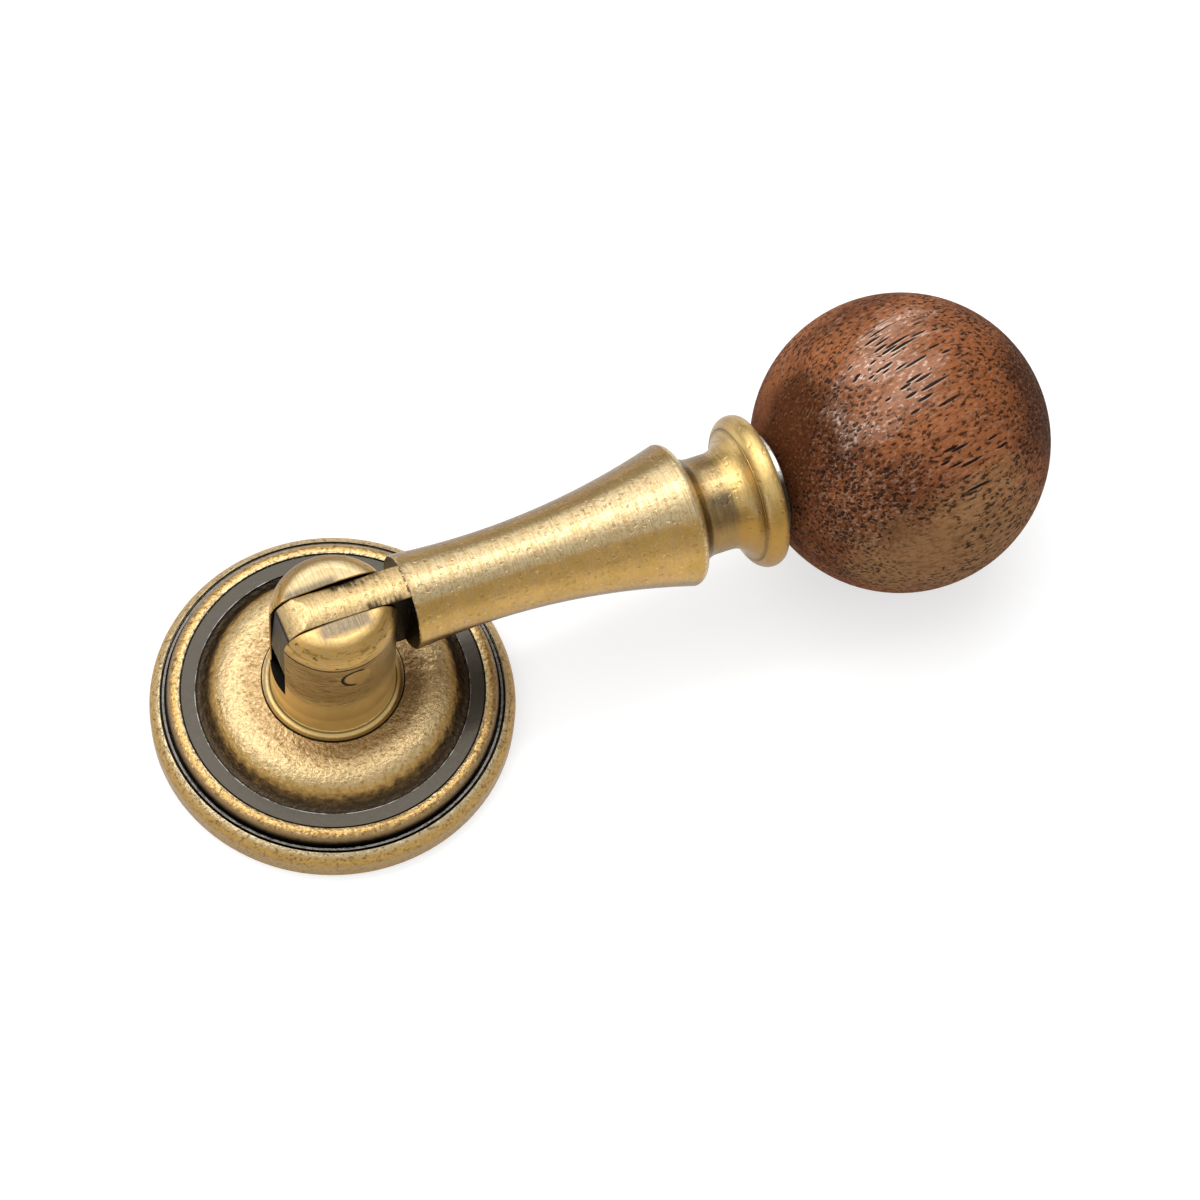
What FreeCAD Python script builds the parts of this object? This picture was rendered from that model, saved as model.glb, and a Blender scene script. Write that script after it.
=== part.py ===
import FreeCAD, Part
import math
import os

V = FreeCAD.Vector

# Driving sizes in millimetres. The pin axis is along Y, the shank lies towards +X.
ROSETTE_R = 15.0
RIM_WIDTH = 0.82
RIM_HEIGHT = 2.7
GROOVE_WIDTH = 0.22
GROOVE_DEPTH = 0.35
BEAD_WIDTH = 1.05
BAND_WIDTH = 1.3
BAND_HEIGHT = 3.78
SCORE = 0.14
SEAT_HEIGHT = 5.8
FOOT_FLARE = 0.7
POST_R = 5.05
SPIGOT_R = 3.6
FIXING_R = 1.65
FIXING_DEPTH = 7.5
PIN_HEIGHT = 15.3
PIN_R = 1.25
TONGUE_HALF = 3.9
TONGUE_THICKNESS = 3.0
TONGUE_BACK = 4.5
TONGUE_CORNER = 0.8
TONGUE_CROWN = 3.0
WAIST_R = 3.62
WAIST_FROM_SHOULDER = 6.55
FLARE_LENGTH = 24.52
FLARE_R = 5.99
FLARE_EDGE = 0.75
ROOT_ROUND = 1.78
ROOT_LEAN = 67
NECK_R = 4.08
NECK_LENGTH = 5.02
COVE_ARC = 1.98
FLANGE_R = 6.45
FLANGE_ROUND = 1.1
FLANGE_SCORE = 0.1
COLLAR_R = 4.6
COLLAR_LENGTH = 1.03
BALL_R = 12.42
BALL_SEAT_R = 2.72
STUD_R = 2.0
STUD_IN_SHANK = 7.0
STUD_IN_BALL = 11.0
EASE = 0.12

# Clearances between pieces.
SPIGOT_CLEARANCE = 0.03
PIN_CLEARANCE = 0.05
SIDE_CLEARANCE = 0.08
FLOOR_CLEARANCE = 0.3
SHOULDER_GAP = 0.8
STUD_END_GAP = 1.0

# Sizes that follow from the ones above.
RIM_INNER = ROSETTE_R - RIM_WIDTH
RIDGE_OUTER = RIM_INNER - GROOVE_WIDTH
RIDGE_INNER = RIDGE_OUTER - 0.8 * GROOVE_WIDTH
BEAD_OUTER = RIDGE_INNER - GROOVE_WIDTH
BEAD_INNER = BEAD_OUTER - BEAD_WIDTH
BAND_INNER = BEAD_INNER - BAND_WIDTH
FOOT_R = POST_R + FOOT_FLARE
POST_TOP = PIN_HEIGHT + TONGUE_HALF + SIDE_CLEARANCE
SLOT_HALF = TONGUE_THICKNESS / 2 + SIDE_CLEARANCE
CORNER_REACH = math.hypot(TONGUE_BACK - TONGUE_CORNER, TONGUE_HALF - TONGUE_CORNER) + TONGUE_CORNER
SLOT_FLOOR = PIN_HEIGHT - CORNER_REACH - FLOOR_CLEARANCE
SHOULDER_AT = POST_R + SHOULDER_GAP
FLARE_END = SHOULDER_AT + FLARE_LENGTH
FLANGE_AT = FLARE_END + NECK_LENGTH + FLANGE_ROUND
FLANGE_FRONT = FLANGE_AT + 0.57 * FLANGE_ROUND
COLLAR_END = FLANGE_FRONT + COLLAR_LENGTH
BALL_REACH = COLLAR_END + math.sqrt(BALL_R ** 2 - BALL_SEAT_R ** 2)
REST_DROP = math.degrees(math.asin((PIN_HEIGHT - BALL_R) / BALL_REACH))


def outline(start, steps, place):
    """Closed face from a start point and steps: (point,) is a line, (middle, end) an arc."""
    edges = []
    here = start
    for step in list(steps) + [(start,)]:
        end = step[-1]
        if len(step) == 2:
            edges.append(Part.Arc(place(*here), place(*step[0]), place(*end)).toShape())
        elif math.dist(here, end) > 1e-6:
            edges.append(Part.makeLine(place(*here), place(*end)))
        here = end
    return Part.Face(Part.Wire(edges))


def turned_upright(start, steps):
    """Solid of revolution about Z from points (radius, height)."""
    return outline(start, steps, lambda r, z: V(r, 0, z)).revolve(V(0, 0, 0), V(0, 0, 1), 360)


def turned_lying(start, steps):
    """Solid of revolution about X from points (distance, radius)."""
    return outline(start, steps, lambda a, r: V(a, 0, r)).revolve(V(0, 0, 0), V(1, 0, 0), 360)


def rod(radius, start, direction, length):
    return Part.makeCylinder(radius, length, start, direction)


def round_corner(centre, radius, angle):
    """Point on a circle, with the angle in degrees from the first axis."""
    turn = math.radians(angle)
    return (centre[0] + radius * math.cos(turn), centre[1] + radius * math.sin(turn))


def eased(shape, half, lowest):
    """Rounds the edges that lie on the two planes y = half and y = -half, above a height."""
    def on_plane(edge):
        ends = [edge.valueAt(edge.FirstParameter), edge.valueAt(edge.LastParameter)]
        middle = edge.valueAt((edge.FirstParameter + edge.LastParameter) / 2)
        level = all(abs(abs(point.y) - half) < 1e-4 for point in ends + [middle])
        return level and middle.z > lowest
    return shape.makeFillet(EASE, [edge for edge in shape.Edges if on_plane(edge)])


def rosette():
    hole = SPIGOT_R + SPIGOT_CLEARANCE
    rim_side = 0.45 * RIM_HEIGHT
    groove_floor = RIM_HEIGHT - GROOVE_DEPTH
    bead_foot = RIM_HEIGHT + 0.2
    band_edge = BEAD_INNER - SCORE
    cushion_run = BAND_INNER - SCORE - FOOT_R
    cushion_rise = SEAT_HEIGHT - BAND_HEIGHT
    ogee_foot = BAND_INNER - SCORE
    ogee_turn = (ogee_foot - 0.16 * cushion_run, BAND_HEIGHT + 0.26 * cushion_rise)
    crest = (ogee_foot - 0.62 * cushion_run, BAND_HEIGHT + 0.9 * cushion_rise)
    steps = [
        ((ROSETTE_R - 0.12, 0),),
        ((ROSETTE_R, 0.12),),
        ((ROSETTE_R, rim_side),),
        ((ROSETTE_R - 0.25 * RIM_WIDTH, 0.82 * RIM_HEIGHT), (RIM_INNER, RIM_HEIGHT)),
        ((RIM_INNER, groove_floor),),
        ((RIDGE_OUTER, groove_floor),),
        ((RIDGE_OUTER, RIM_HEIGHT),),
        ((RIDGE_INNER, RIM_HEIGHT),),
        ((RIDGE_INNER, groove_floor),),
        ((BEAD_OUTER, groove_floor),),
        ((BEAD_OUTER, bead_foot),),
        ((BEAD_OUTER - 0.35 * BEAD_WIDTH, BAND_HEIGHT + 0.02), (BEAD_INNER, BAND_HEIGHT + 0.05)),
        ((BEAD_INNER, BAND_HEIGHT - SCORE),),
        ((band_edge, BAND_HEIGHT - SCORE),),
        ((band_edge, BAND_HEIGHT),),
        ((BAND_INNER, BAND_HEIGHT),),
        ((BAND_INNER, BAND_HEIGHT - SCORE),),
        ((ogee_foot, BAND_HEIGHT - SCORE),),
        ((ogee_foot - 0.1 * cushion_run, BAND_HEIGHT + 0.06 * cushion_rise), ogee_turn),
        ((ogee_foot - 0.31 * cushion_run, BAND_HEIGHT + 0.66 * cushion_rise), crest),
        ((FOOT_R, SEAT_HEIGHT),),
        ((hole, SEAT_HEIGHT),),
    ]
    return turned_upright((hole, 0), steps)


def post():
    edge_round = 0.38 * POST_R
    dome_rise = 0.045 * POST_R
    line_at = POST_TOP - dome_rise - edge_round
    edge_centre = (POST_R - edge_round, line_at)
    steps = [
        ((SPIGOT_R, 0),),
        ((SPIGOT_R, SEAT_HEIGHT),),
        ((FOOT_R, SEAT_HEIGHT),),
        ((FOOT_R, SEAT_HEIGHT + 0.15),),
        ((POST_R + 0.27 * FOOT_FLARE, SEAT_HEIGHT + 0.27), (POST_R, SEAT_HEIGHT + 0.75)),
        ((POST_R, line_at - 0.25),),
        ((POST_R - 0.1, line_at - 0.13),),
        ((POST_R, line_at),),
        (round_corner(edge_centre, edge_round, 45), round_corner(edge_centre, edge_round, 90)),
        ((edge_centre[0] / 2, POST_TOP - dome_rise / 4), (0, POST_TOP)),
        ((0, FIXING_DEPTH),),
        ((FIXING_R, FIXING_DEPTH),),
    ]
    blank = turned_upright((FIXING_R, 0), steps)
    slot = Part.makeBox(4 * POST_R, 2 * SLOT_HALF, POST_TOP, V(-2 * POST_R, -SLOT_HALF, SLOT_FLOOR))
    pin_hole = rod(PIN_R, V(0, -2 * POST_R, PIN_HEIGHT), V(0, 1, 0), 4 * POST_R)
    return eased(blank.cut(slot), SLOT_HALF, SLOT_FLOOR + EASE).cut(pin_hole)


def pivot_pin():
    pin = rod(PIN_R, V(0, -2 * POST_R, PIN_HEIGHT), V(0, 1, 0), 4 * POST_R)
    return pin.common(rod(POST_R, V(0, 0, 0), V(0, 0, 1), 2 * PIN_HEIGHT))


def tongue():
    """Flat tongue of the shank: its back is crowned above and has a small corner below."""
    crown_turn = 59
    crown = (TONGUE_CROWN * math.sin(math.radians(crown_turn)) - TONGUE_BACK, TONGUE_HALF - TONGUE_CROWN)
    corner = (TONGUE_CORNER - TONGUE_BACK, TONGUE_CORNER - TONGUE_HALF)
    steps = [
        (round_corner(crown, TONGUE_CROWN, 90 + crown_turn / 2), round_corner(crown, TONGUE_CROWN, 90 + crown_turn)),
        (round_corner(corner, TONGUE_CORNER, 180),),
        (round_corner(corner, TONGUE_CORNER, 225), round_corner(corner, TONGUE_CORNER, 270)),
        ((SHOULDER_AT + 1, -TONGUE_HALF),),
        ((SHOULDER_AT + 1, TONGUE_HALF),),
    ]
    half = TONGUE_THICKNESS / 2
    face = outline(round_corner(crown, TONGUE_CROWN, 90), steps, lambda x, z: V(x, -half, z))
    bar = rod(TONGUE_HALF, V(-2 * TONGUE_BACK, 0, 0), V(1, 0, 0), 2 * TONGUE_BACK + SHOULDER_AT + 1)
    return eased(face.extrude(V(0, TONGUE_THICKNESS, 0)).common(bar), half, 0)


def hollow(lowest, arc, distance):
    """Point on a hollow turned with one arc, whose lowest point is given."""
    return (distance, lowest[1] + arc - math.sqrt(arc ** 2 - (distance - lowest[0]) ** 2))


def shank():
    waist = (SHOULDER_AT + WAIST_FROM_SHOULDER, WAIST_R)
    edge = (FLARE_END - FLARE_EDGE, FLARE_R - FLARE_EDGE)
    flare_arc = ((edge[0] - waist[0]) ** 2 + (FLARE_R - WAIST_R) ** 2) / (2 * (FLARE_R - WAIST_R))
    shoulder = hollow(waist, flare_arc, SHOULDER_AT + EASE)
    fall = FLARE_R - NECK_R
    root_lean = min(ROOT_LEAN, math.degrees(math.acos(1 - fall / (FLARE_EDGE + ROOT_ROUND))))
    tilt = math.radians(root_lean)
    slope = (fall - (FLARE_EDGE + ROOT_ROUND) * (1 - math.cos(tilt))) / math.tan(tilt)
    root = (edge[0] + (FLARE_EDGE + ROOT_ROUND) * math.sin(tilt) + slope, NECK_R + ROOT_ROUND)
    edge_end = 90 - root_lean
    root_start = 270 - root_lean
    bead = (FLANGE_AT, FLANGE_R - FLANGE_ROUND)
    drop = NECK_R + COVE_ARC - bead[1]
    cove = (bead[0] - math.sqrt((COVE_ARC + FLANGE_ROUND) ** 2 - drop ** 2), NECK_R + COVE_ARC)
    lean = math.degrees(math.asin(drop / (COVE_ARC + FLANGE_ROUND)))
    cove_end = -lean - math.degrees(FLANGE_SCORE / 2 / COVE_ARC)
    bead_start = 180 - lean - math.degrees(FLANGE_SCORE / 2 / FLANGE_ROUND)
    flange_edge = math.degrees(math.acos((FLANGE_FRONT - FLANGE_AT) / FLANGE_ROUND))
    stud_hole = COLLAR_END - STUD_IN_SHANK - STUD_END_GAP
    steps = [
        ((SHOULDER_AT, shoulder[1] - EASE),),
        (shoulder,),
        (waist, (edge[0], FLARE_R)),
        (round_corner(edge, FLARE_EDGE, (90 + edge_end) / 2), round_corner(edge, FLARE_EDGE, edge_end)),
        (round_corner(root, ROOT_ROUND, root_start),),
        (round_corner(root, ROOT_ROUND, (root_start + 270) / 2), round_corner(root, ROOT_ROUND, 270)),
        (round_corner(cove, COVE_ARC, -90),),
        (round_corner(cove, COVE_ARC, (cove_end - 90) / 2), round_corner(cove, COVE_ARC, cove_end)),
        (round_corner(cove, COVE_ARC + FLANGE_SCORE / 2, -lean),),
        (round_corner(bead, FLANGE_ROUND, bead_start),),
        (round_corner(bead, FLANGE_ROUND, 90), round_corner(bead, FLANGE_ROUND, flange_edge)),
        ((FLANGE_FRONT, COLLAR_R),),
        ((COLLAR_END - EASE, COLLAR_R),),
        ((COLLAR_END, COLLAR_R - EASE),),
        ((COLLAR_END, STUD_R),),
        ((stud_hole, STUD_R),),
        ((stud_hole, 0),),
    ]
    body = turned_lying((SHOULDER_AT, 0), steps).fuse(tongue()).removeSplitter()
    return body.cut(rod(PIN_R + PIN_CLEARANCE, V(0, -2 * POST_R, 0), V(0, 1, 0), 4 * POST_R))


def ball():
    """Ball with a small flat seat for the collar and a blind hole for the stud."""
    whole = Part.makeSphere(BALL_R, V(BALL_REACH, 0, 0), V(1, 0, 0))
    cap = rod(BALL_R, V(COLLAR_END - BALL_R, 0, 0), V(1, 0, 0), BALL_R)
    hole = rod(STUD_R, V(COLLAR_END - 1, 0, 0), V(1, 0, 0), 1 + STUD_IN_BALL + STUD_END_GAP)
    return whole.cut(cap).cut(hole)


def ball_stud():
    start = COLLAR_END - STUD_IN_SHANK
    end = COLLAR_END + STUD_IN_BALL
    lead = 0.25 * STUD_R
    steps = [
        ((start, STUD_R - lead),),
        ((start + lead, STUD_R),),
        ((end - lead, STUD_R),),
        ((end, STUD_R - lead),),
        ((end, 0),),
    ]
    return turned_lying((start, 0), steps)


def hung(shape):
    """Puts a piece of the drop on the pin, lowered until the ball meets the mounting plane."""
    placed = shape.copy()
    placed.rotate(V(0, 0, 0), V(0, 1, 0), REST_DROP)
    placed.translate(V(0, 0, PIN_HEIGHT))
    return placed


def main():
    os.makedirs("parts", exist_ok=True)
    pieces = {
        "rosette": rosette(),
        "post": post(),
        "pivot_pin": pivot_pin(),
        "shank": hung(shank()),
        "ball": hung(ball()),
        "ball_stud": hung(ball_stud()),
    }
    for node, shape in pieces.items():
        if shape.ShapeType == "Compound" and len(shape.Solids) == 1:
            shape = shape.Solids[0]
        print(node, shape.ShapeType, len(shape.Solids), shape.isValid(), round(shape.Volume, 1))
        shape.exportStep("parts/" + node + ".step")
    print("rest drop", round(REST_DROP, 3), "ball reach", round(BALL_REACH, 3), "slot floor", round(SLOT_FLOOR, 3))


main()
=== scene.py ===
import math

import bpy
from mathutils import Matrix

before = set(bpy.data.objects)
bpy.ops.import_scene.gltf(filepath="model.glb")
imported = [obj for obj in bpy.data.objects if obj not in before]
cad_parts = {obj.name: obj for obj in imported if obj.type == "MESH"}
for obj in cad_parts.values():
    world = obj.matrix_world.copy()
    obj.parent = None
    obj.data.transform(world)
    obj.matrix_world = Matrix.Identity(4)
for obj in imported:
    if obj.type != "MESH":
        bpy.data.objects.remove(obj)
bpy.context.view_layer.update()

# Sizes shared with the part, in millimetres and degrees
PIN_HEIGHT = 15.3
PIN_R = 1.25
FOOT_R = 5.75
FOOT_TOP = 5.95
EDGE_LINE = 17.13
SLOT_HALF = 1.58
TONGUE_BACK = 4.5
SHOULDER_AT = 5.85
FLARE_END = 30.37
NECK_START = 32.1
BEAD_LINE = 35.42
COLLAR_START = 37.12
RIM_INNER = 14.18
RIDGE_OUTER = 13.96
RIDGE_INNER = 13.784
BEAD_OUTER = 13.564
BEAD_INNER = 12.514
BAND_OUTER = 12.374
BAND_INNER = 11.214
REST_DROP = 3.285
BALL_CENTRE = 50.265
BALL_R = 12.42

# Where the rosette's colours change, as radii and heights in millimetres
CUSHION_TAN = 6.9
CUSHION_PALE = 7.8
CUSHION_CREST = 9.2
SLOPE_GOLD = 9.75
SLOPE_BROWN = 10.2
SLOPE_DARK = 10.6
GOLD_FULL = 9.5
GOLD_END = 10.0
INNER_FULL = 6.5
INNER_END = 8.2
BEAD_GOLD = 12.95
BEAD_TAN = 13.3
BEAD_BROWN = 13.5
RIM_PALE = 14.35
RIM_GOLD = 14.7
RIM_EDGE = 14.97
RIM_OUTER = 15.0
GROOVE_TOP = 2.68
GROOVE_DARK = 2.6
SHADED_SIDE = (0.55, -0.83, 0.0)

# Where the post's colours change, as heights in millimetres
BROWN_LOW = 11.5
BROWN_HIGH = 16.5
BRIGHT_END = 12.5
BRIGHT_FULL = 9.5
BRIGHT_START = 6.15
BRIGHT_CLEAR = 6.3
FOOT_PALE_LOW = 6.35
FOOT_PALE_HIGH = 7.8
CHATTER_LOW = 11.2
CHATTER_HIGH = 16.0
SLOT_FLOOR_LOW = (8.0, 9.0)
SLOT_FLOOR_HIGH = (11.0, 10.0)

# Where the tongue is worn and the neck's grey ends, in millimetres along the shank
FAR_WEAR = (0.3, 3.6)
NEAR_WEAR = (2.4, 4.8)
NECK_GREY_END = 33.5

# Areas of the ball, each of patches: a direction from the centre, where it begins and where it is full
# Of these, shaded is painted shade on the ball's left and right sides, olive is a painted reflection of the
# floor along its lower front edge, and the sheen areas are a painted sheen
WOOD_PATCHES = {
    "orange": [((0.50, -0.13, 0.85), 0.88, 0.99)],
    "olive": [((0.05, -0.97, 0.20), 0.74, 0.95), ((-0.34, -0.93, 0.14), 0.84, 0.97)],
    "shaded": [((-0.85, 0.05, 0.50), 0.82, 0.96), ((0.85, -0.20, 0.48), 0.80, 0.97)],
    "plum": [((-0.55, -0.62, 0.56), 0.87, 0.99)],
    "bare": [((-0.30, -0.90, 0.30), 0.93, 0.985), ((-0.93, 0.20, 0.30), 0.85, 0.95)],
    "dashed": [((-0.10, 0.05, 0.99), 0.88, 0.95), ((0.10, -0.58, 0.81), 0.93, 0.98)],
    "polished": [((-0.15, -0.02, 0.98), 0.80, 0.98)],
    "sheen": [((-0.20, 0.03, 0.98), 0.92, 1.03), ((-0.10, 0.38, 0.92), 0.93, 1.05)],
    "low_sheen": [((-0.45, -0.12, 0.89), 0.95, 1.04)],
}

# How the wood's marks are drawn out: along the grain, across it and up
PATCH_STRETCH = (0.35, 1.0, 1.0)
BAND_STRETCH = (0.12, 1.0, 1.0)
FIBRE_STRETCH = (0.22, 3.2, 3.2)
FINE_STRETCH = (1.0, 2.5, 2.5)
GRIT_STRETCH = (0.5, 1.0, 1.0)
DASH_STRETCH = (0.075, 1.0, 1.0)
DOT_STRETCH = (0.55, 1.0, 1.0)
GRAIN_TURN = -12.0
PORE_PLACE = (0.0, 0.0, 0.0)
LIP_PLACE = (0.08, 0.10, 0.0)

# Noise: scale, then detail and roughness where they are set
BRUSH_NOISE = (1.0, 4.0, 0.62)
CLOUD_NOISE = (0.45, 3.0)
ROSETTE_BLOTS = (1.2, 4.0, 0.65)
ROSETTE_FLECKS = (3.6, 3.0, 0.6)
HAMMERED_NOISE = (1.9, 3.0, 0.62)
POST_BLOTS = (1.6, 4.0, 0.65)
POST_SPOTS = (2.6, 2.0)
SHANK_FLECKS = (3.4, 2.0)
SHANK_SPECKS = (5.5, 2.0, 0.6)
SHANK_SMEARS = (0.9, 2.0)
SHANK_GRAIN = (2.4, 3.0, 0.6)
WOOD_EDGES = (0.35, 3.0)
WOOD_BANDS = (0.30, 3.0)
WOOD_FIBRES = (1.0, 3.0, 0.6)
WOOD_FINE = (1.8, 2.0)
WOOD_GRIT = (3.4, 2.0)
PAPER_NOISE = (0.02, 2.0)

# Brush marks: how fine across and how quickly they change along
RING_MARKS = (4.0, 14.0)
LATHE_MARKS = (4.5, 3.0)
SCRATCH_MARKS = (6.5, 3.4)
FILE_MARKS = (7.0, 0.55)
SHANK_MARKS = (6.0, 2.4)
TICK_MARKS = (7.0, 8.0)
PIN_MARKS = (5.0, 1.0)
STUD_MARKS = (8.0, 1.0)

# Scattered cells: scale. Ragged places: scale and reach in millimetres
PIT_CELLS = 1.7
DASH_CELLS = 2.7
DOT_CELLS = 2.9
RAGGED_PITS = (2.0, 0.5)
RAGGED_WOOD = (2.4, 0.55)

# Relief, in millimetres
HAMMERED_DEPTH = 0.15
RING_DEPTH = 0.020
POST_BRUSH_DEPTH = 0.022
POST_BLOT_DEPTH = 0.030
CHATTER_DEPTH = 0.020
SHANK_BRUSH_DEPTH = 0.012
TICK_DEPTH = 0.012
SHANK_GRAIN_DEPTH = 0.030
PIT_DEPTH = 0.022
PIN_BRUSH_DEPTH = 0.030
PIN_RIM_DEPTH = 0.030
FIBRE_DEPTH = 0.015
FINE_DEPTH = 0.050
GRIT_DEPTH = 0.085
PORE_DEPTH = 0.12
STUD_BRUSH_DEPTH = 0.010

# Roughness, from the marks' low end to their high end, and gloss
ROSETTE_ROUGH = (0.30, 0.44)
FLAT_ROUGH = 0.02
POST_ROUGH = (0.44, 0.28)
SHANK_ROUGH = (0.46, 0.30)
PIN_ROUGH = (0.46, 0.32)
STUD_ROUGH = (0.3, 0.42)
WOOD_ROUGH = (0.80, 0.18)
WOOD_SPECULAR = 0.09
POST_BRUSHED = 0.5
SHANK_BRUSHED = 0.6

# Finishes, with painted light and shade, as linear colours
PALE_GOLD = (0.64, 0.508, 0.295)
GOLD = (0.53, 0.324, 0.098)
DEEP_GOLD = (0.47, 0.285, 0.075)
# Painted light: brighter gold on the lower post, its foot and the flange's near side
BRIGHT_GOLD = (0.78, 0.54, 0.20)
FOOT_GOLD = (0.95, 0.69, 0.28)
# Painted shade: darker gold below the flange
LOW_GOLD = (0.36, 0.20, 0.045)
CUSHION_GOLD = (0.60, 0.437, 0.22)
TAN = (0.42, 0.281, 0.133)
BROWN = (0.17, 0.100, 0.038)
DARK_BROWN = (0.055, 0.038, 0.022)
# Black: patina in the grooves and lines, and painted shade in the slot, on the tongue's sides and the
# shoulder
BLACK_PATINA_AND_SHADE = (0.012, 0.010, 0.008)
GUNMETAL = (0.074, 0.066, 0.054)
SLATE = (0.16, 0.148, 0.132)
FILED_GREY = (0.105, 0.096, 0.082)
# Painted shade on the rim's outer side
RIM_SIDE = (0.35, 0.22, 0.070)
END_GREY = (0.034, 0.030, 0.025)
# Painted highlight on the collar
SILVER = (0.74, 0.72, 0.67)
WALNUT = (0.30, 0.103, 0.037)
WALNUT_DARK = (0.088, 0.025, 0.0085)
# Painted shade on the ball
WALNUT_DEEP = (0.055, 0.013, 0.002)
WALNUT_ORANGE = (0.235, 0.070, 0.018)
WALNUT_OLIVE = (0.33, 0.176, 0.074)
# Painted sheen on the ball
WALNUT_PALE = (0.48, 0.27, 0.185)
PORE = (0.012, 0.005, 0.003)
# Painted glints beside the pores
PORE_LIP = (0.72, 0.55, 0.44)
STEEL = (0.42, 0.41, 0.40)
DULL_STEEL = (0.30, 0.29, 0.28)
PAPER_DARK = (0.47, 0.47, 0.47)
PAPER_LIGHT = (0.52, 0.52, 0.52)
WHITE = (1.0, 1.0, 1.0, 1.0)

# Camera, in metres, degrees and, for lens and sensor, millimetres
CAMERA_PLACE = (-0.052386, -0.133948, 0.298085)
CAMERA_TURN = (27.3606, -3.3921, -23.1138)
CAMERA_LENS = 120.0
CAMERA_SENSOR = 36.0
CAMERA_NEAR = 0.01

# Floor, room and lamps, in metres and as brightness
FLOOR_SIZE = 6.0
FLOOR_HEIGHT = -0.00005
FLOOR_ROUGH = 0.9
FLOOR_GLOW = 0.6
ROOM_FRONT = (-0.45, -0.85, 0.25)
ROOM_BACK_AT = -0.5
ROOM_FRONT_AT = 0.7
ROOM_BACK_LEVEL = 0.42
ROOM_FRONT_LEVEL = 0.75
OVERHEAD_PLACE = (-0.10, 0.40, 0.50)
OVERHEAD_SIZE = (1.1, 0.94)
OVERHEAD_RADIANCE = 1.38
STRIP_PLACE = (-0.02, 0.16, 0.49)
STRIP_SIZE = (0.72, 0.045)
STRIP_RADIANCE = 6.5

# Units
MILLIMETRES_A_METRE = 1000.0
MILLIMETRE = 0.001


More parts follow.
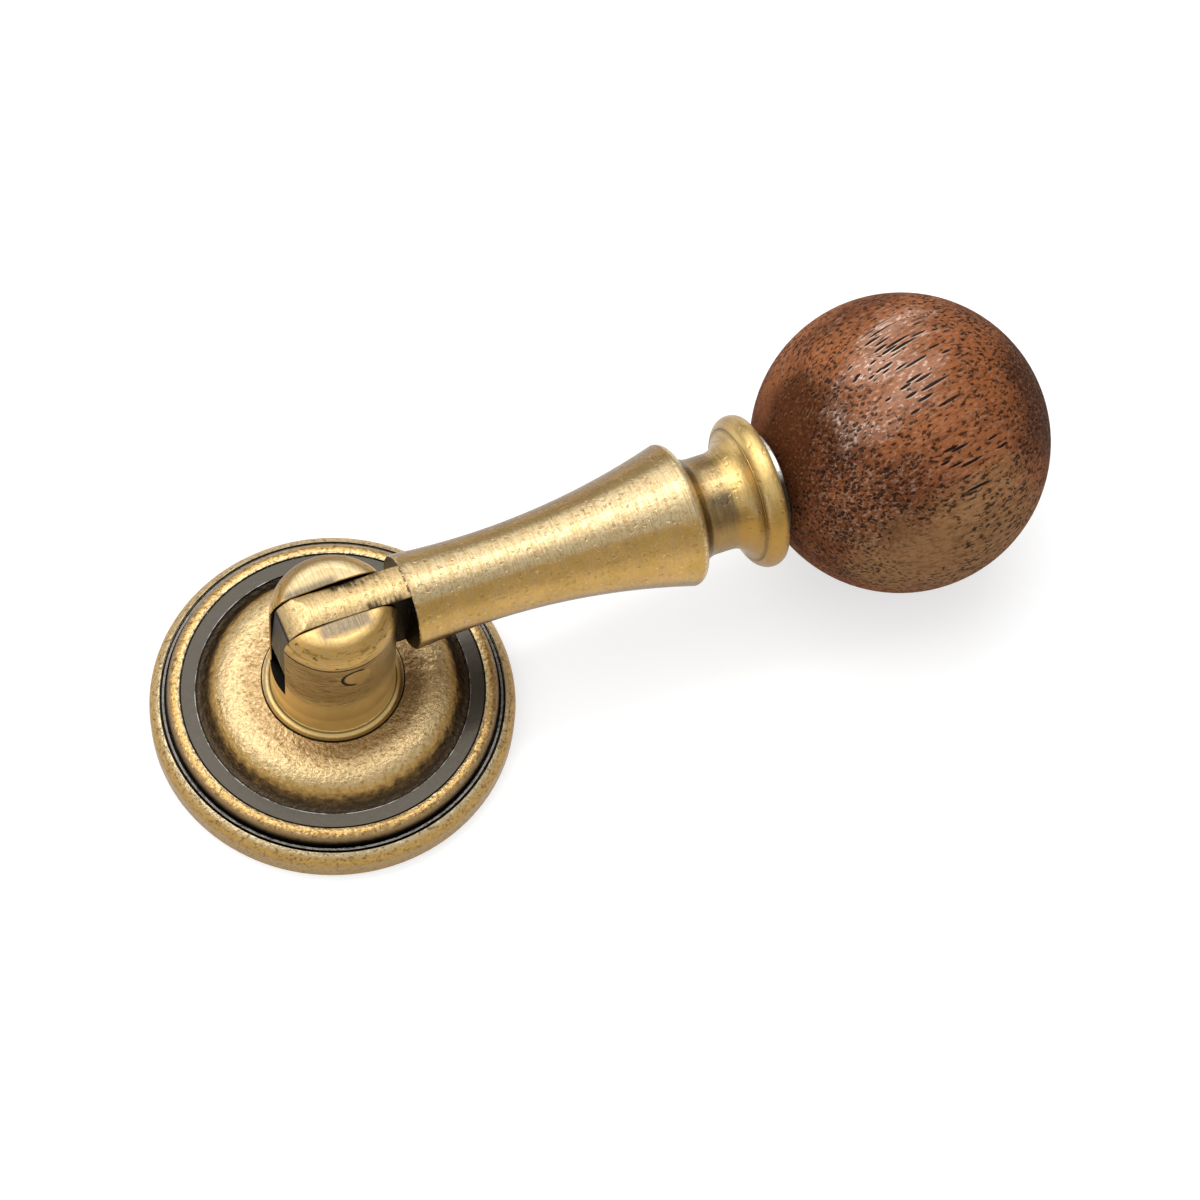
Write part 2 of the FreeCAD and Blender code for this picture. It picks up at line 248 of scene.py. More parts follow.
class Graph:
    """A material's node tree, with short ways to add nodes and wire them."""

    def __init__(self, name):
        self.material = bpy.data.materials.new(name)
        self.material.use_nodes = True
        self.nodes = self.material.node_tree.nodes
        self.links = self.material.node_tree.links
        self.shader = self.nodes["Principled BSDF"]

    def feed(self, socket, value):
        """Wires a socket to another one, or gives it a plain value."""
        if isinstance(value, bpy.types.NodeSocket):
            self.links.new(value, socket)
        elif isinstance(value, tuple) and socket.type == "RGBA":
            socket.default_value = (*value, 1.0)
        else:
            socket.default_value = value

    def maths(self, operation, first, second=0.0):
        node = self.nodes.new("ShaderNodeMath")
        node.operation = operation
        self.feed(node.inputs[0], first)
        self.feed(node.inputs[1], second)
        return node.outputs[0]

    def vector(self, operation, first, second):
        node = self.nodes.new("ShaderNodeVectorMath")
        node.operation = operation
        self.feed(node.inputs[0], first)
        self.feed(node.inputs[1], second)
        return node.outputs[0]

    def stretched(self, vector, factors):
        return self.vector("MULTIPLY", vector, factors)

    def along(self, vector, direction):
        """How far a vector points along a direction."""
        node = self.nodes.new("ShaderNodeVectorMath")
        node.operation = "DOT_PRODUCT"
        self.feed(node.inputs[0], vector)
        self.feed(node.inputs[1], direction)
        return node.outputs["Value"]

    def join(self, x, y, z):
        node = self.nodes.new("ShaderNodeCombineXYZ")
        for socket, value in zip(node.inputs, (x, y, z)):
            self.feed(socket, value)
        return node.outputs[0]

    def split(self, vector):
        node = self.nodes.new("ShaderNodeSeparateXYZ")
        self.feed(node.inputs[0], vector)
        return node.outputs

    def turn(self, vector, axis, degrees):
        node = self.nodes.new("ShaderNodeVectorRotate")
        node.rotation_type = "AXIS_ANGLE"
        self.feed(node.inputs["Vector"], vector)
        self.feed(node.inputs["Axis"], axis)
        self.feed(node.inputs["Angle"], math.radians(degrees))
        return node.outputs[0]

    def place(self):
        """The point on the piece at rest, in millimetres, in the part's frame."""
        node = self.nodes.new("ShaderNodeTexCoord")
        return self.stretched(node.outputs["Object"], (MILLIMETRES_A_METRE,) * 3)

    def facing(self):
        """The surface normal, in the piece's own axes."""
        node = self.nodes.new("ShaderNodeTexCoord")
        return node.outputs["Normal"]

    def span(self, value, low, high):
        """0 at low, 1 at high, smooth between. Low may be above high."""
        node = self.nodes.new("ShaderNodeMapRange")
        node.interpolation_type = "SMOOTHSTEP"
        self.feed(node.inputs["Value"], value)
        ends = (low, high, 0.0, 1.0) if low <= high else (high, low, 1.0, 0.0)
        for name, end in zip(("From Min", "From Max", "To Min", "To Max"), ends):
            node.inputs[name].default_value = end
        return node.outputs[0]

    def band(self, value, low, high, soft):
        """1 between low and high, falling to 0 over soft at both ends."""
        return self.both(self.span(value, low - soft, low), self.span(value, high + soft, high))

    def level(self, share, first, second):
        """A plain number that goes from first to second with share."""
        node = self.nodes.new("ShaderNodeMapRange")
        self.feed(node.inputs["Value"], share)
        node.inputs["To Min"].default_value = first
        node.inputs["To Max"].default_value = second
        return node.outputs[0]

    def both(self, *masks):
        whole = masks[0]
        for mask in masks[1:]:
            whole = self.maths("MULTIPLY", whole, mask)
        return whole

    def either(self, *masks):
        whole = masks[0]
        for mask in masks[1:]:
            whole = self.maths("MAXIMUM", whole, mask)
        return whole

    def rest_of(self, mask):
        return self.maths("SUBTRACT", 1.0, mask)

    def part_of(self, mask, share):
        return self.maths("MULTIPLY", mask, share)

    def noise(self, vector, scale, detail=2.0, rough=0.5):
        node = self.nodes.new("ShaderNodeTexNoise")
        self.feed(node.inputs["Vector"], vector)
        node.inputs["Scale"].default_value = scale
        node.inputs["Detail"].default_value = detail
        node.inputs["Roughness"].default_value = rough
        return node.outputs["Fac"]

    def cells(self, vector, scale):
        """Distance to the nearest of the scattered points, and a random number for each."""
        node = self.nodes.new("ShaderNodeTexVoronoi")
        self.feed(node.inputs["Vector"], vector)
        node.inputs["Scale"].default_value = scale
        return node.outputs["Distance"], self.split(node.outputs["Color"])[0]

    def ruffle(self, vector, scale, reach):
        """The point moved by up to half a reach each way, for ragged marks."""
        node = self.nodes.new("ShaderNodeTexNoise")
        self.feed(node.inputs["Vector"], vector)
        node.inputs["Scale"].default_value = scale
        moved = self.vector("SUBTRACT", node.outputs["Color"], (0.5, 0.5, 0.5))
        return self.vector("ADD", vector, self.stretched(moved, (reach, reach, reach)))

    def blend(self, share, first, second):
        node = self.nodes.new("ShaderNodeMix")
        node.data_type = "RGBA"
        colours = [socket for socket in node.inputs if socket.type == "RGBA"]
        self.feed(node.inputs["Factor"], share)
        self.feed(colours[0], first)
        self.feed(colours[1], second)
        return next(socket for socket in node.outputs if socket.type == "RGBA")

    def tint(self, colour, other, mask, share=1.0):
        """The colour, turned into another one where the mask is, up to a share."""
        if share < 1.0:
            mask = self.part_of(mask, share)
        return self.blend(mask, colour, other)

    def ramp(self, value, stops):
        """Colour that goes through stops, given as (value, colour) in rising order."""
        node = self.nodes.new("ShaderNodeValToRGB")
        first = stops[0][0]
        reach = stops[-1][0] - first
        elements = node.color_ramp.elements
        while len(elements) < len(stops):
            elements.new(1.0)
        for element, (at, colour) in zip(elements, stops):
            element.position = (at - first) / reach
            element.color = (*colour, 1.0)
        share = self.maths("DIVIDE", self.maths("SUBTRACT", value, first), reach)
        self.feed(node.inputs["Fac"], share)
        return node.outputs["Color"]

    def relief(self, *layers):
        """Bumps from layers, given as (height from 0 to 1, millimetres)."""
        whole = 0.0
        for height, millimetres in layers:
            whole = self.maths("ADD", whole, self.maths("MULTIPLY", height, millimetres))
        node = self.nodes.new("ShaderNodeBump")
        node.inputs["Distance"].default_value = MILLIMETRE
        self.feed(node.inputs["Height"], whole)
        return node.outputs[0]

    def brushed(self, direction, amount):
        """Stretches the gloss along a direction given in the piece's own axes."""
        node = self.nodes.new("ShaderNodeVectorTransform")
        node.vector_type = "VECTOR"
        node.convert_from = "OBJECT"
        node.convert_to = "WORLD"
        self.feed(node.inputs[0], direction)
        self.shader.inputs["Anisotropic"].default_value = amount
        self.feed(self.shader.inputs["Tangent"], node.outputs[0])

    def finish(self, colour, rough, normal, metal=1.0):
        self.feed(self.shader.inputs["Base Color"], colour)
        self.feed(self.shader.inputs["Roughness"], rough)
        self.feed(self.shader.inputs["Normal"], normal)
        self.shader.inputs["Metallic"].default_value = metal
        return self.material


# Shared by several materials
def around(g, x, y):
    """Distance from an axis, and the direction from it, for marks that run round a turned piece."""
    radius = g.maths("SQRT", g.maths("ADD", g.both(x, x), g.both(y, y)))
    return radius, g.maths("DIVIDE", x, radius), g.maths("DIVIDE", y, radius)


def handle_place(g, place):
    """The point in the drop's own frame: along the shank, across it, and up."""
    return g.turn(g.vector("SUBTRACT", place, (0.0, 0.0, PIN_HEIGHT)), (0.0, 1.0, 0.0), -REST_DROP)


def streaks(g, across_marks, along_marks, fine, long):
    """Noise drawn out into fine brush marks."""
    stretched = [g.maths("MULTIPLY", across_marks, fine)]
    stretched += [g.maths("MULTIPLY", value, long) for value in along_marks]
    return g.noise(g.join(*stretched), *BRUSH_NOISE)


def brass_with_painted_light(g, place, brush, rubbed_and_lit):
    """Gold under paler brush marks, palest where it is worn by rubbing and lit, a painted highlight, and
    brown on the far and lower sides, a painted shade.
    """
    _, ny, nz = g.split(g.facing())
    cloud = g.noise(place, *CLOUD_NOISE)
    shade = g.blend(g.span(cloud, 0.40, 0.62), GOLD, DEEP_GOLD)
    shade = g.tint(shade, TAN, g.span(brush, 0.56, 0.34), 0.6)
    # Painted highlight: pale gold where the brass is worn by rubbing and faces the light
    painted_highlight = g.both(rubbed_and_lit, g.level(g.span(brush, 0.34, 0.60), 0.35, 1.0))
    shade = g.tint(shade, PALE_GOLD, painted_highlight)
    # Painted shade: brown on the far and lower sides
    far_low_shade = g.either(g.span(ny, 0.38, 0.76), g.span(nz, 0.0, -0.32))
    return g.tint(shade, BROWN, far_low_shade, 0.88)


# Rosette
def rosette_rings(g, radius, wander):
    """The plate's colours from the foot outwards. Those of the cushion have wandering edges. The bead's
    pale inner side and the rim's pale top are wear with a painted highlight, and the rim's darker outer
    side is painted shade.
    """
    cushion = g.ramp(wander, [
        (FOOT_R, TAN), (CUSHION_TAN, TAN), (CUSHION_PALE, CUSHION_GOLD), (CUSHION_CREST, CUSHION_GOLD),
        (SLOPE_GOLD, GOLD), (SLOPE_BROWN, BROWN), (SLOPE_DARK, DARK_BROWN), (BAND_INNER, DARK_BROWN)])
    turned = g.ramp(radius, [
        (BAND_INNER, GUNMETAL), (BAND_OUTER - 0.01, GUNMETAL), (BAND_OUTER, BLACK_PATINA_AND_SHADE),
        (BEAD_INNER - 0.01, BLACK_PATINA_AND_SHADE), (BEAD_INNER + 0.02, PALE_GOLD), (BEAD_GOLD, GOLD),
        (BEAD_TAN, TAN), (BEAD_BROWN, BROWN), (BEAD_OUTER, DARK_BROWN)])
    rim = g.ramp(radius, [
        (RIDGE_INNER, SLATE), (RIDGE_OUTER, SLATE), (RIM_INNER, PALE_GOLD), (RIM_PALE, PALE_GOLD),
        (RIM_GOLD, GOLD), (RIM_EDGE, RIM_SIDE), (RIM_OUTER, RIM_SIDE)])
    colour = g.blend(g.span(radius, BAND_INNER - 0.04, BAND_INNER), cushion, turned)
    return g.blend(g.span(radius, RIDGE_INNER - 0.03, RIDGE_INNER - 0.01), colour, rim)


def rosette_wear(g, colour, place, radius, wander, blot, fleck, ring):
    """Brown specks and pale glints on the gold, and painted shade: a browner inner part on one side of the
    post.
    """
    bead = g.band(radius, BEAD_INNER, BEAD_TAN, 0.1)
    edge = g.span(radius, RIM_INNER, RIM_INNER + 0.05)
    gold = g.span(wander, GOLD_END, GOLD_FULL)
    inner = g.both(g.span(wander, INNER_END, INNER_FULL), gold)
    specks = g.span(g.maths("ADD", fleck, g.level(blot, -0.14, 0.14)), 0.53, 0.63)
    glints = g.span(g.maths("SUBTRACT", fleck, g.level(ring, -0.1, 0.1)), 0.44, 0.34)
    colour = g.tint(colour, BROWN, g.both(g.either(bead, edge), specks), 0.7)
    colour = g.tint(colour, BROWN, g.both(gold, specks, g.level(inner, 0.45, 0.65)))
    colour = g.tint(colour, PALE_GOLD, g.both(g.either(gold, bead), glints), 0.7)
    # Painted shade on the cushion's inner part, towards one side of the post
    shaded = g.both(inner, g.span(g.along(place, SHADED_SIDE), -1.0, 5.0))
    return g.tint(colour, BROWN, shaded, 0.70)


def rosette_lines(g, colour, radius, z, blot):
    """The band's bright lip, and the dark lines at the foot, beside the band and in the grooves."""
    lip = g.both(g.band(radius, BAND_INNER + 0.01, BAND_INNER + 0.05, 0.02), g.span(blot, 0.42, 0.60))
    colour = g.tint(colour, DULL_STEEL, lip)
    seat = g.band(radius, FOOT_R, FOOT_R + 0.10, 0.04)
    grooves = g.band(radius, BEAD_OUTER, RIM_INNER - 0.02, 0.01)
    grooves = g.both(grooves, g.span(z, GROOVE_TOP, GROOVE_DARK))
    score = g.band(radius, BAND_INNER - 0.14, BAND_INNER - 0.02, 0.02)
    return g.tint(colour, BLACK_PATINA_AND_SHADE, g.either(grooves, seat, g.part_of(score, 0.85)))


def rosette_brass():
    g = Graph("rosette_brass")
    place = g.place()
    x, y, z = g.split(place)
    radius, across, up = around(g, x, y)
    blot = g.noise(place, *ROSETTE_BLOTS)
    fleck = g.noise(place, *ROSETTE_FLECKS)
    ring = streaks(g, radius, (across, up), *RING_MARKS)
    waver = g.maths("ADD", g.level(blot, -0.4, 0.4), g.level(ring, -0.55, 0.55))
    wander = g.maths("ADD", radius, waver)
    colour = rosette_rings(g, radius, wander)
    colour = rosette_wear(g, colour, place, radius, wander, blot, fleck, ring)
    colour = rosette_lines(g, colour, radius, z, blot)
    flat = g.band(radius, BAND_INNER, BAND_OUTER, 0.02)
    rough = g.maths("ADD", g.level(fleck, *ROSETTE_ROUGH), g.part_of(flat, FLAT_ROUGH))
    rugged = g.rest_of(g.part_of(flat, 0.9))
    hammered = g.noise(place, *HAMMERED_NOISE)
    normal = g.relief((g.both(hammered, rugged), HAMMERED_DEPTH), (g.both(ring, rugged), RING_DEPTH))
    return g.finish(colour, rough, normal)


# Post
def post_tone(g, colour, z, nz, lathe):
    """Brown turning marks, a browner middle, and a lower post and foot brightened with painted light."""
    turned = g.both(g.span(lathe, 0.51, 0.60), g.span(nz, 0.90, 0.75))
    colour = g.tint(colour, BROWN, turned, 0.60)
    colour = g.tint(colour, BROWN, g.band(z, BROWN_LOW, BROWN_HIGH, 1.5), 0.30)
    # Painted light: brighter gold on the lower post and its foot
    lower = g.both(g.span(z, BRIGHT_END, BRIGHT_FULL), g.span(z, BRIGHT_START, BRIGHT_CLEAR))
    colour = g.tint(colour, BRIGHT_GOLD, lower, 0.9)
    return g.tint(colour, FOOT_GOLD, g.band(z, FOOT_PALE_LOW, FOOT_PALE_HIGH, 0.6))


def post_chatter(g, z, across, up):
    """Where fine scratches run round the post, fewer on the side of the shank."""
    scratch = streaks(g, z, (across, up), *SCRATCH_MARKS)
    chatter = g.both(g.band(z, CHATTER_LOW, CHATTER_HIGH, 1.2), g.span(scratch, 0.54, 0.62))
    return g.both(chatter, g.level(g.span(across, 0.45, -0.1), 0.30, 1.0))


def post_grey(g, x, y, nz, near, filed):
    """Where the tops of the two ears are filed to grey."""
    near = g.both(near, g.span(y, -3.3, -2.5), g.band(x, -1.4, 1.8, 1.2))
    far = g.both(g.span(y, 2.5, 1.8), g.span(y, 1.0, 1.4), g.band(x, -3.0, 0.5, 1.0))
    return g.both(g.span(nz, 0.86, 0.96), g.either(near, far), g.level(filed, 1.15, 0.45))


def post_dark(g, y, z, ny, nz, across):
    """Painted shade on the slot's walls and floor, and the line under the dome and the two lines at the
    foot.
    """
    # Painted shade in the slot
    wall = g.span(g.maths("ABSOLUTE", y), SLOT_HALF + 0.06, SLOT_HALF + 0.02)
    wall = g.both(wall, g.span(g.maths("ABSOLUTE", ny), 0.9, 0.98))
    slot_floor = g.both(g.span(nz, 0.9, 0.98), g.span(z, *SLOT_FLOOR_HIGH), g.span(z, *SLOT_FLOOR_LOW))
    line = g.both(g.band(z, EDGE_LINE - 0.22, EDGE_LINE - 0.04, 0.05), g.span(across, 0.75, 0.1))
    ring = g.band(z, FOOT_TOP - 0.2, FOOT_TOP - 0.02, 0.05)
    hollow = g.band(z, FOOT_TOP + 0.16, FOOT_TOP + 0.26, 0.06)
    return g.either(wall, slot_floor, g.part_of(g.either(line, hollow), 0.75), g.part_of(ring, 0.7))


def post_brass():
    g = Graph("post_brass")
    place = g.place()
    x, y, z = g.split(place)
    _, across, up = around(g, x, y)
    _, ny, nz = g.split(g.facing())
    top = g.span(nz, 0.80, 0.96)
    lathe = streaks(g, z, (across, up), *LATHE_MARKS)
    filed = streaks(g, x, (y, 0.0), *FILE_MARKS)
    brush = g.maths("ADD", g.both(lathe, g.rest_of(top)), g.both(filed, top))
    blot = g.noise(place, *POST_BLOTS)
    near = g.span(y, 0.0, -0.5)
    # Painted highlight, with wear, where the tops face up, less on the near side
    rubbed_and_lit = g.both(g.span(nz, 0.84, 0.965), g.level(near, 1.0, 0.25))
    colour = post_tone(g, brass_with_painted_light(g, place, brush, rubbed_and_lit), z, nz, lathe)
    chatter = post_chatter(g, z, across, up)
    spots = g.span(g.noise(place, *POST_SPOTS), 0.64, 0.70)
    pits = g.both(g.band(z, EDGE_LINE - 0.3, EDGE_LINE + 1.4, 0.3), spots)
    colour = g.tint(colour, DARK_BROWN, chatter, 0.70)
    colour = g.tint(colour, DARK_BROWN, pits, 0.8)
    colour = g.tint(colour, FILED_GREY, post_grey(g, x, y, nz, near, filed))
    colour = g.tint(colour, BLACK_PATINA_AND_SHADE, post_dark(g, y, z, ny, nz, across))
    normal = g.relief((brush, POST_BRUSH_DEPTH), (blot, POST_BLOT_DEPTH), (chatter, -CHATTER_DEPTH))
    g.brushed(g.join(top, 0.0, g.rest_of(top)), POST_BRUSHED)
    return g.finish(colour, g.level(brush, *POST_ROUGH), normal)


# Shank
def shank_specks(g, colour, place, upper, ticks):
    """Brown ticks on the worn, lit upper side, and fine brown and pale specks, fewer below."""
    marks = g.both(upper, g.span(ticks, 0.55, 0.64))
    colour = g.tint(colour, BROWN, marks, 0.40)
    speck = g.noise(place, *SHANK_SPECKS)
    colour = g.tint(colour, BROWN, g.both(g.span(speck, 0.55, 0.68), g.level(upper, 0.16, 0.40)))
    return g.tint(colour, PALE_GOLD, g.both(g.span(speck, 0.45, 0.33), g.level(upper, 0.16, 0.45)))


def shank_neck(g, colour, along, across, brush):
    """The neck's grey middle and its far and lower sides in painted shade, and the flange: painted shade
    above, a painted highlight on its near side, and deeper gold below in painted shade.
    """
    middle = g.both(g.band(along, NECK_START - 0.3, NECK_GREY_END, 0.6), g.band(across, -0.75, -0.45, 0.25))
    colour = g.tint(colour, GUNMETAL, g.both(middle, g.level(brush, 1.3, 0.2)), 0.85)
    # Painted shade on the neck's far and lower sides
    sides = g.either(g.span(across, -0.05, 0.55), g.span(across, -0.55, -0.85))
    neck = g.both(g.band(along, FLARE_END + 0.2, BEAD_LINE - 1.2, 0.5), sides)
    colour = g.tint(colour, BROWN, neck, 0.55)
    # Painted highlight on the flange's near side, painted shade below it and on its far side
    flange = g.span(along, BEAD_LINE - 2.3, BEAD_LINE - 1.3)
    streaky = g.level(g.span(brush, 0.35, 0.60), 0.5, 1.0)
    colour = g.tint(colour, BRIGHT_GOLD, g.both(flange, g.span(across, -0.75, -0.42), streaky))
    colour = g.tint(colour, LOW_GOLD, g.both(flange, g.span(across, -0.66, -0.90)), 0.85)
    return g.tint(colour, BROWN, g.both(flange, g.span(across, 0.30, 0.75)), 0.6)


def shank_tongue_wear(g, place, along, y, brush):
    """Where the tongue's two upper edges are smeared dark."""
    far = g.both(g.band(along, *FAR_WEAR, 0.8), g.span(y, 0.30, 1.2))
    near = g.both(g.band(along, *NEAR_WEAR, 0.8), g.span(y, -0.50, -1.3))
    smear = g.maths("ADD", g.part_of(brush, 0.45), g.part_of(g.noise(place, *SHANK_SMEARS), 0.55))
    return g.both(g.either(far, near), g.span(smear, 0.60, 0.42))


def shank_dark(g, along, nx, ny, tongue, worn, fleck):
    """Painted shade on the tongue's sides in the slot, on the shoulder's face and in the neck's root; the
    tongue's worn edges, the shoulder's tool mark and the line at the bead.
    """
    # Painted shade on the tongue's sides and the shoulder's face
    flats = g.both(tongue, g.span(g.maths("ABSOLUTE", ny), 0.85, 0.97))
    shoulder = g.both(g.span(nx, -0.85, -0.97), g.band(along, SHOULDER_AT - 0.1, SHOULDER_AT + 0.1, 0.05))
    tool_mark = g.band(along, SHOULDER_AT - 0.12, SHOULDER_AT + 0.02, 0.05)
    tool_mark = g.both(tool_mark, g.span(fleck, 0.40, 0.52))
    bead_line = g.band(along, BEAD_LINE - 0.05, BEAD_LINE + 0.03, 0.04)
    # Painted shade in the root between the flare and the neck
    root = g.band(along, FLARE_END + 0.35, FLARE_END + 0.75, 0.3)
    return g.either(flats, shoulder, g.part_of(g.both(tongue, worn), 0.85), g.part_of(tool_mark, 0.8),
                    g.part_of(bead_line, 0.35), g.part_of(root, 0.6))


def shank_brass():
    g = Graph("shank_brass")
    place = g.place()
    along, y, w = g.split(handle_place(g, place))
    _, across, up = around(g, y, w)
    nx, ny, nz = g.split(g.facing())
    brush = streaks(g, along, (across, up), *SHANK_MARKS)
    ticks = streaks(g, along, (across, up), *TICK_MARKS)
    fleck = g.noise(place, *SHANK_FLECKS)
    tongue = g.span(along, SHOULDER_AT + 0.02, SHOULDER_AT - 0.02)
    worked = g.either(tongue, g.span(along, FLARE_END - 0.2, FLARE_END + 0.1))
    # The lit upper side of the shank, which gets a painted highlight
    upper = g.both(g.span(ny, -0.61, -0.44), g.span(ny, 0.55, 0.25), g.span(nz, 0.25, 0.55))
    colour = brass_with_painted_light(g, place, brush, g.both(upper, g.level(worked, 1.0, 0.6)))
    colour = shank_specks(g, colour, place, upper, ticks)
    distance, chance = g.cells(g.ruffle(place, *RAGGED_PITS), PIT_CELLS)
    pits = g.both(g.span(distance, 0.34, 0.20), g.span(chance, 0.45, 0.5))
    colour = g.tint(colour, BROWN, g.either(pits, g.span(fleck, 0.64, 0.70)), 0.25)
    colour = g.tint(colour, PALE_GOLD, g.span(fleck, 0.34, 0.29), 0.7)
    # A painted highlight along the flare's edge, with wear
    bright_edge = g.band(along, FLARE_END - 0.55, FLARE_END - 0.2, 0.15)
    colour = g.tint(colour, PALE_GOLD, g.both(bright_edge, g.span(fleck, 0.40, 0.58)))
    colour = shank_neck(g, colour, along, across, brush)
    worn = shank_tongue_wear(g, place, along, y, brush)
    colour = g.tint(colour, BLACK_PATINA_AND_SHADE, shank_dark(g, along, nx, ny, tongue, worn, fleck))
    colour = g.tint(colour, END_GREY, g.span(along, 0.25 - TONGUE_BACK, 0.05 - TONGUE_BACK))
    # Painted highlight on the collar's upper side and painted shade on its lower side
    collar_light_and_shade = g.blend(g.span(across, -0.50, -0.20), DARK_BROWN, SILVER)
    colour = g.tint(colour, collar_light_and_shade, g.span(along, COLLAR_START + 0.12, COLLAR_START + 0.3))
    grain = g.noise(place, *SHANK_GRAIN)
    normal = g.relief((brush, SHANK_BRUSH_DEPTH), (g.both(ticks, upper), TICK_DEPTH),
                      (grain, SHANK_GRAIN_DEPTH), (pits, -PIT_DEPTH))
    lie = math.radians(REST_DROP)
    g.brushed((math.cos(lie), 0.0, -math.sin(lie)), SHANK_BRUSHED)
    return g.finish(colour, g.level(brush, *SHANK_ROUGH), normal)


# Pin
def pin_brass():
    """Like the post, with a dark curved mark where the pin's end is peened."""
    g = Graph("pin_brass")
    place = g.place()
    x, y, z = g.split(place)
    brush = streaks(g, z, (x, y), *PIN_MARKS)
    radius, across, up = around(g, x, g.maths("SUBTRACT", z, PIN_HEIGHT))
    open_side = g.span(g.maths("SUBTRACT", across, g.part_of(up, 0.35)), 0.55, 0.15)
    rim = g.both(g.span(radius, PIN_R - 0.36, PIN_R - 0.22), open_side)
    colour = g.tint(brass_with_painted_light(g, place, brush, 0.0), BLACK_PATINA_AND_SHADE, rim)
    normal = g.relief((brush, PIN_BRUSH_DEPTH), (rim, -PIN_RIM_DEPTH))
    return g.finish(colour, g.level(brush, *PIN_ROUGH), normal)


# Ball
def wood_patch(g, ball, ragged, direction, begins, full):
    """The part of the ball that looks in a direction, with a ragged edge."""
    share = g.maths("DIVIDE", g.along(ball, direction), BALL_R)
    return g.span(g.maths("ADD", share, g.level(ragged, -0.12, 0.12)), begins, full)


def wood_areas(g, ball, ragged):
    """A mask for each named area of the ball."""
    areas = {}
    for name, patches in WOOD_PATCHES.items():
        areas[name] = g.either(*[wood_patch(g, ball, ragged, *patch) for patch in patches])
    return areas


def wood_tone(g, wood, areas, fibres, fine):
    """The wood between its pores, with painted shade on its sides and a painted reflection of the floor
    along its lower front edge.
    """
    bands = g.noise(g.stretched(wood, BAND_STRETCH), *WOOD_BANDS)
    colour = g.blend(g.level(g.span(bands, 0.34, 0.58), 0.35, 1.0), WALNUT_DARK, WALNUT)
    colour = g.tint(colour, WALNUT_ORANGE, areas["orange"], 0.8)
    colour = g.tint(colour, WALNUT_OLIVE, areas["olive"], 0.8)
    colour = g.tint(colour, WALNUT_DARK, areas["plum"], 0.5)
    colour = g.tint(colour, WALNUT_DEEP, areas["shaded"], 0.90)
    colour = g.tint(colour, WALNUT_DARK, g.span(fibres, 0.56, 0.36), 0.40)
    return g.tint(colour, WALNUT_OLIVE, g.span(fine, 0.56, 0.70), 0.30)


def wood_pores(g, wood, ragged_wood, ragged, areas, shift):
    """Long pores where the ball is dashed and short ones, more or less packed, elsewhere."""
    place = g.vector("ADD", wood, shift)
    distance, chance = g.cells(g.stretched(place, DASH_STRETCH), DASH_CELLS)
    dashes = g.both(g.span(distance, 0.38, 0.27), g.span(chance, 0.40, 0.45), areas["dashed"])
    place = g.vector("ADD", ragged_wood, shift)
    distance, chance = g.cells(g.stretched(place, DOT_STRETCH), DOT_CELLS)
    packed = g.maths("ADD", chance, g.level(ragged, -0.75, 0.75))
    packed = g.maths("ADD", packed, g.part_of(areas["plum"], 0.35))
    packed = g.maths("SUBTRACT", packed, g.part_of(areas["olive"], 0.22))
    calm = g.either(areas["dashed"], g.part_of(areas["bare"], 0.9))
    packed = g.maths("SUBTRACT", packed, g.part_of(calm, 0.55))
    sized = g.maths("ADD", distance, g.level(chance, 0.0, 0.14))
    dots = g.both(g.span(sized, 0.52, 0.36), g.span(packed, 0.30, 0.40))
    return g.either(dashes, g.part_of(dots, 0.78))


def walnut():
    g = Graph("walnut")
    ball = g.vector("SUBTRACT", handle_place(g, g.place()), (BALL_CENTRE, 0.0, 0.0))
    wood = g.turn(ball, (0.0, 0.0, 1.0), GRAIN_TURN)
    ragged = g.noise(g.stretched(wood, PATCH_STRETCH), *WOOD_EDGES)
    fibres = g.noise(g.stretched(wood, FIBRE_STRETCH), *WOOD_FIBRES)
    fine = g.noise(g.stretched(wood, FINE_STRETCH), *WOOD_FINE)
    grit = g.noise(g.stretched(wood, GRIT_STRETCH), *WOOD_GRIT)
    areas = wood_areas(g, ball, ragged)
    ragged_wood = g.ruffle(wood, *RAGGED_WOOD)
    pores = wood_pores(g, wood, ragged_wood, ragged, areas, PORE_PLACE)
    beside = wood_pores(g, wood, ragged_wood, ragged, areas, LIP_PLACE)
    lips = g.both(beside, g.rest_of(pores))
    colour = wood_tone(g, wood, areas, fibres, fine)
    open_part = g.rest_of(g.part_of(areas["bare"], 0.8))
    colour = g.tint(colour, PORE, g.both(g.span(grit, 0.45, 0.36), open_part), 0.80)
    # Painted glints on light flecks and beside the pores, strongest in the painted sheen
    light = g.either(lips, g.both(g.span(grit, 0.58, 0.66), open_part))
    # Painted sheen: paler wood on the top of the ball
    sheen = g.either(areas["sheen"], g.part_of(areas["low_sheen"], 0.7))
    colour = g.tint(colour, WALNUT_PALE, sheen, 0.64)
    glint = g.level(g.either(sheen, g.part_of(areas["plum"], 0.13)), 0.10, 0.95)
    colour = g.tint(colour, PORE_LIP, g.both(light, glint))
    colour = g.tint(colour, PORE, pores)
    normal = g.relief((fibres, FIBRE_DEPTH), (fine, FINE_DEPTH), (grit, GRIT_DEPTH), (pores, -PORE_DEPTH))
    g.shader.inputs["Specular IOR Level"].default_value = WOOD_SPECULAR
    rough = g.maths("ADD", g.level(areas["polished"], *WOOD_ROUGH), g.level(fibres, -0.05, 0.05))
    return g.finish(colour, rough, normal, metal=0.0)


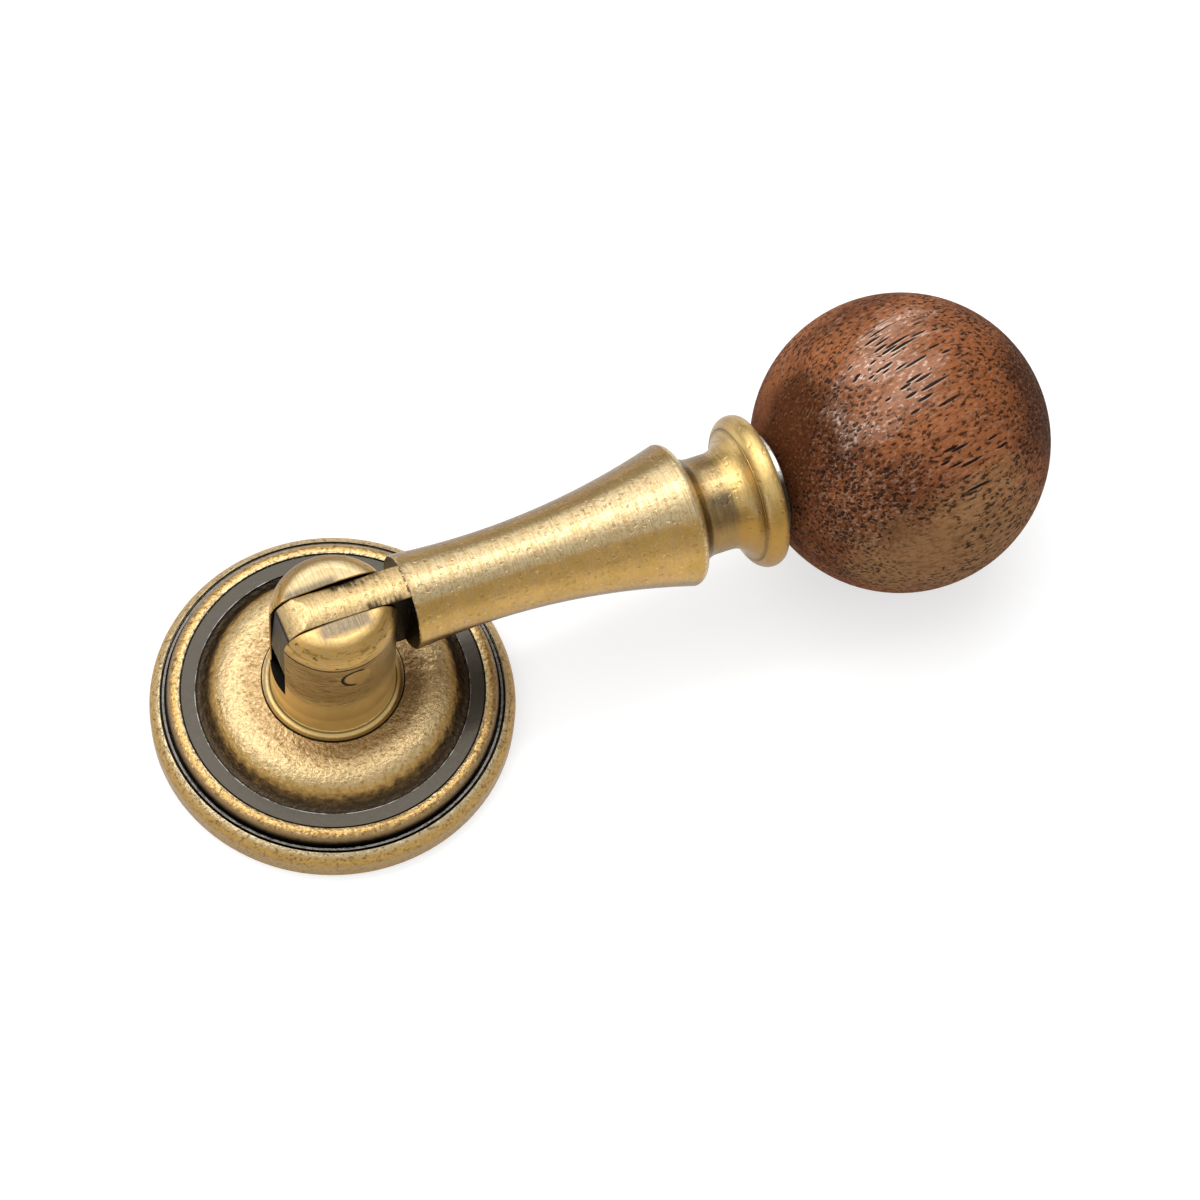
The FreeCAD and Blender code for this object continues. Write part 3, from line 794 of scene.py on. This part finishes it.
# Stud
def stud_steel():
    g = Graph("stud_steel")
    x, y, z = g.split(g.place())
    brush = streaks(g, x, (y, z), *STUD_MARKS)
    colour = g.blend(brush, DULL_STEEL, STEEL)
    return g.finish(colour, g.level(brush, *STUD_ROUGH), g.relief((brush, STUD_BRUSH_DEPTH)))


def dress(node, material):
    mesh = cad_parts[node].data
    mesh.materials.clear()
    mesh.materials.append(material)


# Stage
def floor():
    """A pale floor that reads white to the camera and in reflections, and keeps the shadow."""
    bpy.ops.mesh.primitive_plane_add(size=FLOOR_SIZE, location=(0.0, 0.0, FLOOR_HEIGHT))
    plane = bpy.context.object
    plane.name = "floor"
    g = Graph("floor_paper")
    path = g.nodes.new("ShaderNodeLightPath").outputs
    seen = g.either(path["Is Camera Ray"], path["Is Glossy Ray"], path["Is Transmission Ray"])
    paper = g.noise(g.place(), *PAPER_NOISE)
    g.feed(g.shader.inputs["Base Color"], g.blend(paper, PAPER_DARK, PAPER_LIGHT))
    g.shader.inputs["Roughness"].default_value = FLOOR_ROUGH
    g.shader.inputs["Specular IOR Level"].default_value = 0.0
    g.shader.inputs["Emission Color"].default_value = WHITE
    g.feed(g.shader.inputs["Emission Strength"], g.part_of(seen, FLOOR_GLOW))
    plane.data.materials.append(g.material)


def softbox(name, place, size, radiance):
    """A rectangular lamp that faces down, with its face this bright."""
    width, depth = size
    lamp = bpy.data.lights.new(name, "AREA")
    lamp.shape = "RECTANGLE"
    lamp.size = width
    lamp.size_y = depth
    lamp.energy = radiance * math.pi * width * depth
    holder = bpy.data.objects.new(name, lamp)
    bpy.context.scene.collection.objects.link(holder)
    holder.location = place
    holder.visible_camera = False


def room():
    """A white room that is lighter in front."""
    world = bpy.data.worlds.new("studio")
    world.use_nodes = True
    nodes = world.node_tree.nodes
    links = world.node_tree.links
    place = nodes.new("ShaderNodeTexCoord")
    front = nodes.new("ShaderNodeVectorMath")
    front.operation = "DOT_PRODUCT"
    front.inputs[1].default_value = ROOM_FRONT
    links.new(place.outputs["Generated"], front.inputs[0])
    level = nodes.new("ShaderNodeMapRange")
    level.interpolation_type = "SMOOTHSTEP"
    level.inputs["From Min"].default_value = ROOM_BACK_AT
    level.inputs["From Max"].default_value = ROOM_FRONT_AT
    level.inputs["To Min"].default_value = ROOM_BACK_LEVEL
    level.inputs["To Max"].default_value = ROOM_FRONT_LEVEL
    links.new(front.outputs["Value"], level.inputs["Value"])
    nodes["Background"].inputs["Color"].default_value = WHITE
    links.new(level.outputs[0], nodes["Background"].inputs["Strength"])
    bpy.context.scene.world = world


def lamps():
    """A wide soft lamp overhead with a brighter strip in it."""
    softbox("overhead", OVERHEAD_PLACE, OVERHEAD_SIZE, OVERHEAD_RADIANCE)
    softbox("strip", STRIP_PLACE, STRIP_SIZE, STRIP_RADIANCE)


def camera():
    lens = bpy.data.cameras.new("camera")
    lens.lens = CAMERA_LENS
    lens.sensor_width = CAMERA_SENSOR
    lens.clip_start = CAMERA_NEAR
    holder = bpy.data.objects.new("camera", lens)
    bpy.context.scene.collection.objects.link(holder)
    holder.location = CAMERA_PLACE
    holder.rotation_euler = [math.radians(angle) for angle in CAMERA_TURN]
    bpy.context.scene.camera = holder


# The whole scene
dress("rosette", rosette_brass())
dress("post", post_brass())
dress("pivot_pin", pin_brass())
dress("shank", shank_brass())
dress("ball", walnut())
dress("ball_stud", stud_steel())
floor()
room()
lamps()
camera()
bpy.context.scene.view_settings.view_transform = "Standard"
